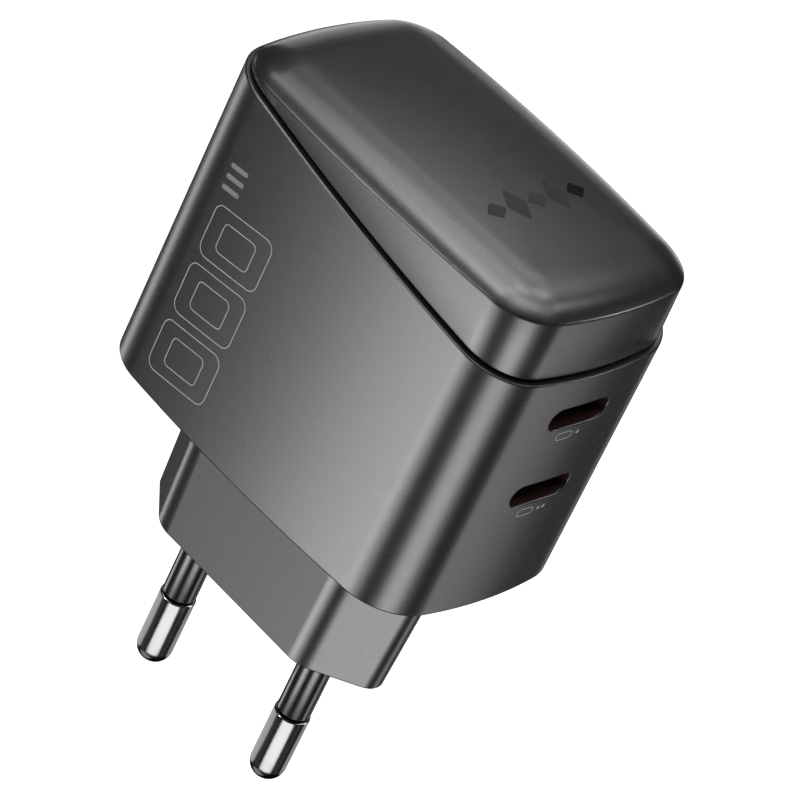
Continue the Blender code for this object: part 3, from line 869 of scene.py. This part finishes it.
# How far ink stands above the plastic, and how far it reaches into it
INK_HEIGHT = 0.02
INK_SINK = 0.03

# Everything on the front climbs this much for each millimetre along it
FRONT_LEAN = 0.16

# Front: three rounded frames, each with a smaller one inside it
LINE_STROKE = 0.10
FRAME_SPAN = (-15.4, -7.0)
FRAME_HEIGHT = 6.2
FRAME_LOWS = (20.3, 27.6, 34.9)
FRAME_CORNER = 1.1
FRAME_MIDDLE = (-11.2, 3.8)
INNER_SHARE = 0.55
INNER_CORNER = 0.6

# Front: three short bars above the frames
BAR_SPAN = (-15.9, -13.4)
BAR_HEIGHT = 0.55
BAR_LOWS = (42.6, 43.9, 45.2)
BAR_CORNER = 0.25

# Beside each port: a capsule, then one dot or two
SYMBOL_HEIGHTS = (39.7, 29.8)
CAPSULE = (2.3, 0.86)
CAPSULE_Y = -0.8
CAPSULE_HALF_STROKE = 0.06
DOT_Y = 1.2
DOT_PITCH = 0.75
DOT_RADIUS = 0.24

# Cover: a row of diamonds, in turn short and long
DIAMOND_REACHES = (1.15, 2.3, 1.15, 2.3, 1.15)
DIAMOND_X = 8.3
DIAMOND_FIRST_Y = -5.8
DIAMOND_PITCH = 2.9
DIAMOND_HALF_WIDTH = 1.35
DIAMOND_CORNER = 0.22

# A height above the whole charger, in metres, to look down on the cover from
RAY_START = 0.1


def on_front(u, v, lift):
    """The spot at x = u, z = v on the long front, `lift` proud of it."""
    return (u, front_surface(u) - lift, v)


def on_end(u, v, lift):
    """The spot at y = u, z = v on the end with the ports, `lift` proud of it."""
    return (end_surface(u) + lift, u, v)


def printed(shapes, place, name, look):
    """Thin layers of ink. A shape is one loop, or an outer and an inner loop."""
    bm = bmesh.new()
    for shape in shapes:
        loops = shape if isinstance(shape, tuple) else (shape,)
        tops = [
            [bm.verts.new(Vector(place(u, v, INK_HEIGHT)) * MM) for u, v in loop]
            for loop in loops
        ]
        feet = [
            [bm.verts.new(Vector(place(u, v, -INK_SINK)) * MM) for u, v in loop]
            for loop in loops
        ]
        count = len(tops[0])
        for top, foot in zip(tops, feet):
            for i in range(count):
                j = (i + 1) % count
                bm.faces.new((top[i], top[j], foot[j], foot[i]))
        for layer in (tops, feet):
            if len(layer) == 1:
                bm.faces.new(layer[0])
                continue
            for i in range(count):
                j = (i + 1) % count
                bm.faces.new((layer[0][i], layer[0][j], layer[1][j], layer[1][i]))
    bmesh.ops.recalc_face_normals(bm, faces=bm.faces)
    mesh = bpy.data.meshes.new(name)
    bm.to_mesh(mesh)
    bm.free()
    return piece(mesh, name, look)


def stepped(loop, longest=1.2):
    """The loop with long runs divided, so that ink follows a curved face."""
    made = []
    for i, point in enumerate(loop):
        following = loop[(i + 1) % len(loop)]
        parts = max(1, math.ceil(np.linalg.norm(following - point) / longest))
        made += [point + (following - point) * k / parts for k in range(parts)]
    return np.array(made)


def outlined(corners, radius, stroke):
    """A rounded convex polygon drawn as a line `stroke` wide."""
    outer = stepped(rounded([Vector(c) for c in corners], [radius] * 4, steps=6))
    return grown(outer, stroke / 2), grown(outer, -stroke / 2)


def filled(corners, radius):
    """A rounded four-sided patch."""
    return rounded([Vector(c) for c in corners], [radius] * 4, steps=4)


def leaning_box(low, height, span):
    """Corners of a box on the front whose level sides climb towards the ports."""
    left, right = span
    box = [(right, low), (right, low + height), (left, low + height), (left, low)]
    return [(x, z + FRONT_LEAN * (x - left)) for x, z in box]


def build_marks(cover):
    """Plain patterns in the places where a charger has its printing."""
    frames = []
    for low in FRAME_LOWS:
        outer = leaning_box(low, FRAME_HEIGHT, FRAME_SPAN)
        middle = Vector(FRAME_MIDDLE) + Vector((0.0, low))
        inner = [middle.lerp(Vector(corner), INNER_SHARE) for corner in outer]
        frames.append(outlined(outer, FRAME_CORNER, LINE_STROKE))
        frames.append(outlined(inner, INNER_CORNER, LINE_STROKE))
    front = printed(frames, on_front, "front_line_pattern", printed_ink)

    strokes = [
        filled(leaning_box(low, BAR_HEIGHT, BAR_SPAN), BAR_CORNER) for low in BAR_LOWS
    ]
    bars = printed(strokes, on_front, "front_bar_pattern", faded_ink)

    symbols = []
    for number, height in enumerate(SYMBOL_HEIGHTS, start=1):
        capsule = slot_outline(*CAPSULE, steps=8) + (CAPSULE_Y, height)
        symbols.append(
            (grown(capsule, CAPSULE_HALF_STROKE), grown(capsule, -CAPSULE_HALF_STROKE))
        )
        for i in range(number):
            centre = (DOT_Y + DOT_PITCH * i, height)
            # The last side of the ring closes it, so the arc stops one side short
            symbols.append(arc(centre, DOT_RADIUS, 0.0, 1.9 * math.pi, steps=18))
    ports = printed(symbols, on_end, "port_symbols", printed_ink)

    surface = BVHTree.FromObject(cover, bpy.context.evaluated_depsgraph_get())

    def on_top(u, v, lift):
        start = Vector((u * MM, v * MM, RAY_START))
        return (u, v, surface.ray_cast(start, Vector((0, 0, -1)))[0].z / MM + lift)

    emblem = []
    for i, reach in enumerate(DIAMOND_REACHES):
        y = DIAMOND_FIRST_Y + DIAMOND_PITCH * i
        diamond = [
            (DIAMOND_X + reach, y),
            (DIAMOND_X, y + DIAMOND_HALF_WIDTH),
            (DIAMOND_X - reach, y),
            (DIAMOND_X, y - DIAMOND_HALF_WIDTH),
        ]
        emblem.append(filled(diamond, DIAMOND_CORNER))
    top = printed(emblem, on_top, "top_diamond_row", gloss_varnish)
    return front, bars, ports, top


# ------------------------------------------------------------- build

housing = build_housing()
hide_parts("main_housing")

cover = build_cover()
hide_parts("top_cover")

block = build_plug_block()
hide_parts("plug_block")

pieces = [housing, cover, block]
pins = []
for side, x in (("left", -PIN_SPACING / 2), ("right", PIN_SPACING / 2)):
    pin = turned(pin_profile(), x, f"turned_pin_{side}", nickel_plate)
    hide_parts(f"pin_{side}")
    sleeve = turned(sleeve_profile(), x, f"turned_sleeve_{side}", polished_nylon)
    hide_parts(f"pin_sleeve_{side}")
    pins.append(pin)
    pieces += [pin, sleeve]

for number, height in enumerate(PORT_HEIGHTS, start=1):
    contacts = stacked_blocks(
        contact_blocks(height), f"port_contacts_{number}", gold_plate
    )
    pieces.append(contacts)

front_lines, front_bars, port_symbols, top_row = build_marks(cover)
pieces += [front_lines, front_bars, port_symbols, top_row]

for made in pieces:
    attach(made, "root")

NODE_LOOKS = {
    "usb_c_shell": drawn_steel,
    "usb_c_tongue": matt_polymer,
    "pin_contact": rolled_brass,
    "main_board": glass_laminate,
    "port_board": glass_laminate,
    "transformer_core": sintered_ferrite,
    "transformer_bobbin": moulded_phenolic,
    "transformer_winding": enamelled_copper,
    "choke_core": sintered_ferrite,
    "choke_winding": enamelled_copper,
    "output_inductor": sintered_ferrite,
    "bulk_capacitor": shrunk_vinyl,
    "output_capacitor": drawn_aluminium,
    "input_fuse": glazed_ceramic,
    "inrush_thermistor": dark_green_dip,
    "y_capacitor": blue_dip,
    "x_capacitor": moulded_polyester,
    "bridge_rectifier": chip_epoxy,
    "gan_switch": chip_epoxy,
    "controller_chip": chip_epoxy,
    "optocoupler": chip_epoxy,
    "sync_rectifier": chip_epoxy,
    "port_controller": chip_epoxy,
    "heat_plate": rolled_aluminium,
    "thermal_pad": silicone_pad,
    "insulation_sheet": polyester_sheet,
}
for name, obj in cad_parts.items():
    for start, look in NODE_LOOKS.items():
        if name.startswith(start):
            obj.material_slots[0].material = look


# ------------------------------------------------------------- studio


# Every lamp is this far from the spot it is aimed at
LIGHT_DISTANCE = 1.0
AIM = Vector((0.0, 0.0, 0.030))

CAMERA_SENSOR = 36.0
CAMERA_LENS = 235.641
CAMERA_NEAR = 0.01
CAMERA_PLACE = (0.22632360, -0.37246113, 0.31204804)
TO_CAMERA = Vector((0.42826346, -0.71890101, 0.54751415))
CAMERA_UP = Vector((-0.6294189, 0.19743456, 0.751566))

PAPER_RADIUS = 12.0
PAPER_HEIGHT = -0.7
SURROUND_RADIUS = 2.5


def softbox(name, azimuth, elevation, width, height, power):
    """A soft box a metre away, aimed at the charger; azimuth 0 is in front, at -Y."""
    around, up = math.radians(azimuth), math.radians(elevation)
    level = math.cos(up)
    direction = Vector(
        (math.sin(around) * level, -math.cos(around) * level, math.sin(up))
    )
    lamp = bpy.data.lights.new(name, "AREA")
    lamp.energy = power
    lamp.shape = "RECTANGLE"
    lamp.size = width
    lamp.size_y = height
    obj = bpy.data.objects.new(name, lamp)
    obj.location = AIM + direction * LIGHT_DISTANCE
    obj.rotation_euler = direction.to_track_quat("Z", "Y").to_euler()
    obj.visible_camera = False
    bpy.context.scene.collection.objects.link(obj)
    return obj


camera_data = bpy.data.cameras.new("camera")
camera_data.sensor_width = CAMERA_SENSOR
camera_data.lens = CAMERA_LENS
camera_data.clip_start = CAMERA_NEAR
camera = bpy.data.objects.new("camera", camera_data)
turn = Matrix((CAMERA_UP.cross(TO_CAMERA), CAMERA_UP, TO_CAMERA)).transposed()
camera.matrix_world = Matrix.Translation(CAMERA_PLACE) @ turn.to_4x4()
bpy.context.scene.collection.objects.link(camera)
bpy.context.scene.camera = camera

floor_mesh = bpy.data.meshes.new("floor")
bm = bmesh.new()
bmesh.ops.create_circle(bm, cap_ends=True, segments=64, radius=PAPER_RADIUS)
bmesh.ops.translate(bm, vec=(0.0, 0.0, PAPER_HEIGHT), verts=bm.verts)
bm.to_mesh(floor_mesh)
bm.free()
# Bright white seamless paper, lit so that it leaves no shadow or edge.
paper, _, paper_shader = blank("white_paper")
paper_shader.inputs["Base Color"].default_value = linear("#f4f4f4")
paper_shader.inputs["Roughness"].default_value = 0.9
paper_shader.inputs["Emission Color"].default_value = linear("#ffffff")
paper_shader.inputs["Emission Strength"].default_value = 1.0
floor = piece(floor_mesh, "floor", paper)
floor.visible_glossy = False

# A white surround beyond the lamps; only the camera sees it.
surround_mesh = bpy.data.meshes.new("surround")
bm = bmesh.new()
bmesh.ops.create_uvsphere(bm, u_segments=48, v_segments=24, radius=SURROUND_RADIUS)
bm.to_mesh(surround_mesh)
bm.free()
surround = piece(surround_mesh, "surround", paper)
surround.visible_glossy = False
surround.visible_diffuse = False
surround.visible_shadow = False

world = bpy.data.worlds.new("studio")
world.use_nodes = True
world.node_tree.nodes["Background"].inputs["Color"].default_value = linear("#000000")
bpy.context.scene.world = world
bpy.context.scene.view_settings.view_transform = "Standard"

# Lamp tables: name, azimuth and elevation in degrees, width and height in
# metres, power in watts. A crown panel is square and has no name of its own.

# Tall strips and squares low down give the upright walls their soft bands.
WALL_STRIPS = (
    ("front_strip_edge", -30, -35, 0.19, 0.50, 0.36),
    ("front_strip_a", -20, -35, 0.19, 0.50, 1.95),
    ("front_strip_b", -10, -35, 0.19, 0.50, 2.08),
    ("front_strip_fade", 2, -35, 0.17, 0.50, 0.95),
    ("front_square", -20, -8, 0.30, 0.30, 2.62),
    ("right_strip_edge", 42, -35, 0.19, 0.50, 0.30),
    ("right_strip_a", 50, -35, 0.19, 0.50, 1.45),
    ("right_strip_b", 60, -35, 0.19, 0.50, 1.60),
    ("right_strip_c", 70, -35, 0.19, 0.50, 1.50),
    ("right_strip_fade", 81, -35, 0.19, 0.50, 0.40),
    ("port_strip_a", 130, -35, 0.19, 0.50, 0.56),
    ("port_strip_b", 142, -35, 0.19, 0.50, 0.26),
    ("port_strip_c", 181, -35, 0.19, 0.50, 0.16),
    ("left_strip", -92, -35, 0.28, 0.50, 1.12),
    ("back_low_a", 200, -8, 0.30, 0.30, 0.42),
    ("back_low_b", 220, -8, 0.30, 0.30, 0.40),
    ("back_strip", 256, -14, 0.25, 0.50, 0.50),
)

# Square panels above and all round lay a slow gradient over the domed crown.
CROWN_PANELS = (
    (210, 8, 0.20, 0.12),
    (225, 8, 0.20, 0.12),
    (-31, 32, 0.20, 2.60),
    (137, 10, 0.20, 1.50),
    (210, 36, 0.20, 0.06),
    (225, 36, 0.20, 0.03),
    (150, 50, 0.20, 0.63),
    (180, 50, 0.20, 0.25),
    (195, 50, 0.20, 0.25),
    (210, 50, 0.20, 0.43),
    (225, 50, 0.20, 0.23),
    (285, 50, 0.20, 0.57),
    (120, 64, 0.45, 1.41),
    (180, 64, 0.20, 1.03),
    (220, 64, 0.20, 0.40),
    (240, 64, 0.20, 0.52),
    (260, 64, 0.20, 0.58),
    (280, 64, 0.20, 0.44),
    (300, 64, 0.20, 0.71),
    (320, 64, 0.20, 1.29),
    (0, 77, 0.45, 2.10),
    (72, 77, 0.45, 2.23),
    (216, 77, 0.20, 1.20),
    (288, 77, 0.20, 0.90),
)

# The bare metal of the pins is lit on its own, by boxes round it and one below.
PIN_BOXES = (
    ("pin_front_box", 37, -33, 1.10, 0.50, 2.60),
    ("pin_back_box", 170, -33, 1.00, 0.50, 0.62),
    ("pin_left_box", -95, -33, 1.60, 0.50, 1.45),
    ("pin_rear_box", -148, -33, 0.50, 0.50, 0.70),
    ("pin_foot_box", -30, -72, 0.60, 0.60, 0.35),
    ("pin_fill_left", -31, -33, 0.40, 0.50, 0.03),
    ("pin_fill_right", 104, -33, 0.40, 0.50, 0.03),
)


def link_to_pins(lamps, state):
    """Let lamps light the pins only (INCLUDE) or everything but them (EXCLUDE)."""
    group = bpy.data.collections.new(f"pins_{state.lower()}")
    for pin in pins:
        group.objects.link(pin)
    for entry in group.collection_objects:
        entry.light_linking.link_state = state
    for lamp in lamps:
        lamp.light_linking.receiver_collection = group


link_to_pins([softbox(*row) for row in WALL_STRIPS], "EXCLUDE")
link_to_pins([softbox(*row) for row in PIN_BOXES], "INCLUDE")
for azimuth, elevation, size, power in CROWN_PANELS:
    name = f"crown_panel_{azimuth % 360}_{elevation}"
    softbox(name, azimuth, elevation, size, size, power)
